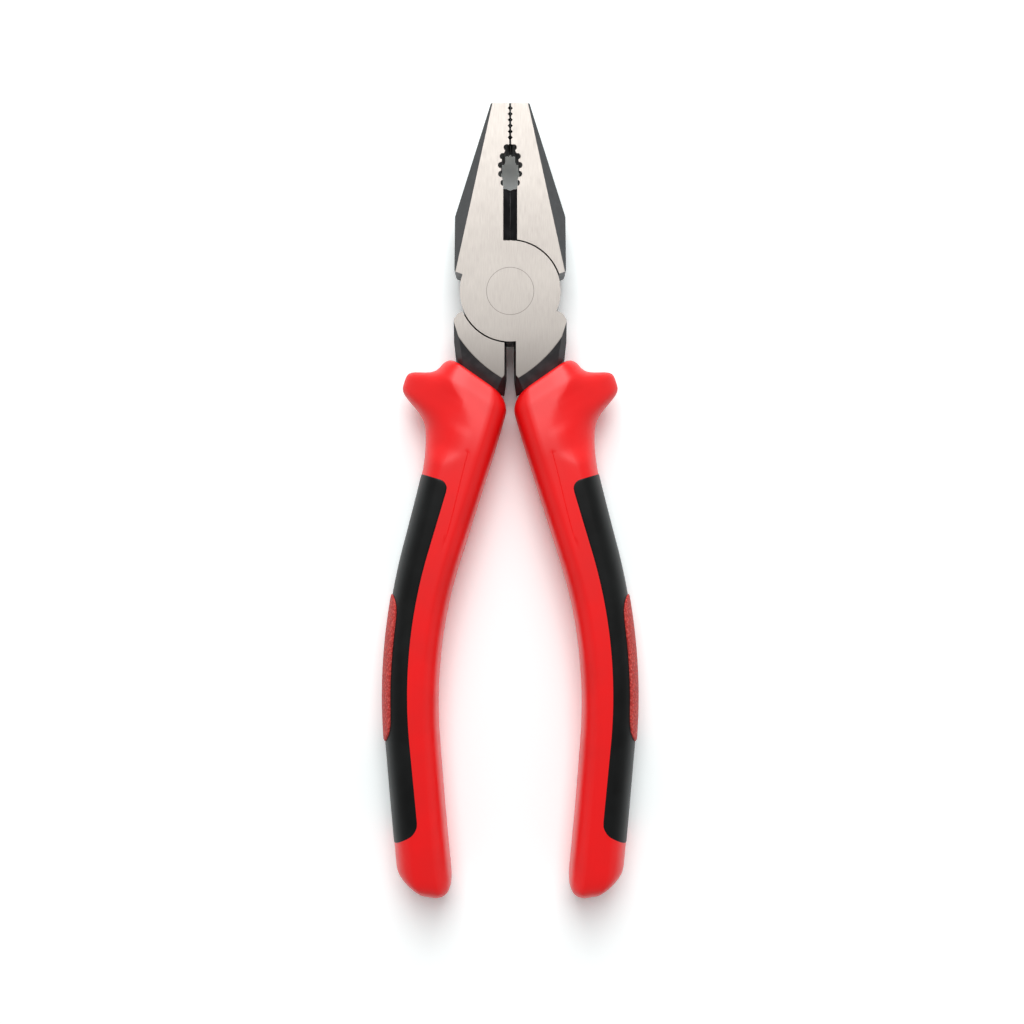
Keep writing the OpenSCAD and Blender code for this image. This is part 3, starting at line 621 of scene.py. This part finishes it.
for side, turn, body in (("right", 1, "front_lever"), ("left", -1, "rear_lever")):
    makeBody(side, turn, body)
    makeInsert(side, turn, body)
    makePad(side, turn, body)
    print(side, "grip made")

# white painted board; the camera and mirrors see it a little over-exposed, as in the photo
floorLook = {"size": 6.0, "grid": 8, "drop": 0.05, "colour": "#f4f3f3", "seenColour": (1.23, 1.29, 1.29, 1)}
floorMesh = bmesh.new()
bmesh.ops.create_grid(floorMesh, x_segments=floorLook["grid"], y_segments=floorLook["grid"],
                      size=floorLook["size"] / 2)
bmesh.ops.translate(floorMesh, vec=(0, 0, -floorLook["drop"] * mm), verts=floorMesh.verts)
floorData = bpy.data.meshes.new("studioFloor")
floorMesh.to_mesh(floorData)
floorMesh.free()
floor = bpy.data.objects.new("studioFloor", floorData)
bpy.context.scene.collection.objects.link(floor)
floorMaterial = bpy.data.materials.new("paintedBoard")
floorMaterial.use_nodes = True
tree = floorMaterial.node_tree
tree.nodes.clear()
path = addNode(tree, "ShaderNodeLightPath").outputs
seen = addNode(tree, "ShaderNodeMath", {0: path["Is Camera Ray"], 1: path["Is Glossy Ray"]},
               operation="MAXIMUM").outputs[0]
seen = addNode(tree, "ShaderNodeMath", {0: seen, 1: path["Is Transmission Ray"]},
               operation="MAXIMUM").outputs[0]
paintColour = addNode(tree, "ShaderNodeMix",
                      {0: seen, 6: linear(floorLook["colour"]), 7: floorLook["seenColour"]},
                      data_type="RGBA").outputs[2]
paint = addNode(tree, "ShaderNodeBsdfDiffuse", {"Color": paintColour}).outputs[0]
addNode(tree, "ShaderNodeOutputMaterial", {"Surface": paint})
floorData.materials.append(floorMaterial)
print("floor laid")

# a large softbox towards the nose, pale walls all round and a darker ceiling over the camera
studio = {"walls": ((0.0, 0.42), (0.2, 0.56), (0.6, 0.46), (0.95, 0.16)),  # upward share and level
          "keyPower": 16.0, "keySize": (0.8, 1.25), "keyAt": (0.0, 0.85, 1.05)}
world = bpy.data.worlds.new("softStudio")
bpy.context.scene.world = world
world.use_nodes = True
tree = world.node_tree
tree.nodes.clear()
skyward = addNode(tree, "ShaderNodeSeparateXYZ",
                  {0: addNode(tree, "ShaderNodeTexCoord").outputs["Generated"]}).outputs["Z"]
ramp = addNode(tree, "ShaderNodeValToRGB", {0: skyward})
while len(ramp.color_ramp.elements) < len(studio["walls"]):
    ramp.color_ramp.elements.new(0.5)
for element, (upward, level) in zip(ramp.color_ramp.elements, studio["walls"]):
    element.position = upward
    element.color = (level, level, level, 1)
backdrop = addNode(tree, "ShaderNodeBackground", {"Color": ramp.outputs[0]}).outputs[0]
addNode(tree, "ShaderNodeOutputWorld", {"Surface": backdrop})

key = bpy.data.objects.new("softbox", bpy.data.lights.new("softbox", "AREA"))
key.data.energy = studio["keyPower"]
key.data.shape = "RECTANGLE"
key.data.size, key.data.size_y = studio["keySize"]
key.location = studio["keyAt"]
key.rotation_mode = "QUATERNION"
key.rotation_quaternion = (-Vector(studio["keyAt"])).to_track_quat("-Z", "Y")
bpy.context.scene.collection.objects.link(key)
bpy.context.scene.view_settings.view_transform = "Standard"
print("light set")

# the photo looks straight down on the tool from about a third of a metre
view = {"at": (0.45, -2.07, 333.6), "lens": 45.04, "sensor": 36.0, "clip": (0.01, 20)}
camera = bpy.data.objects.new("overheadCamera", bpy.data.cameras.new("overheadCamera"))
camera.data.lens = view["lens"]
camera.data.sensor_width = view["sensor"]
camera.data.clip_start, camera.data.clip_end = view["clip"]
camera.location = [c * mm for c in view["at"]]
bpy.context.scene.collection.objects.link(camera)
bpy.context.scene.camera = camera
print("camera set")
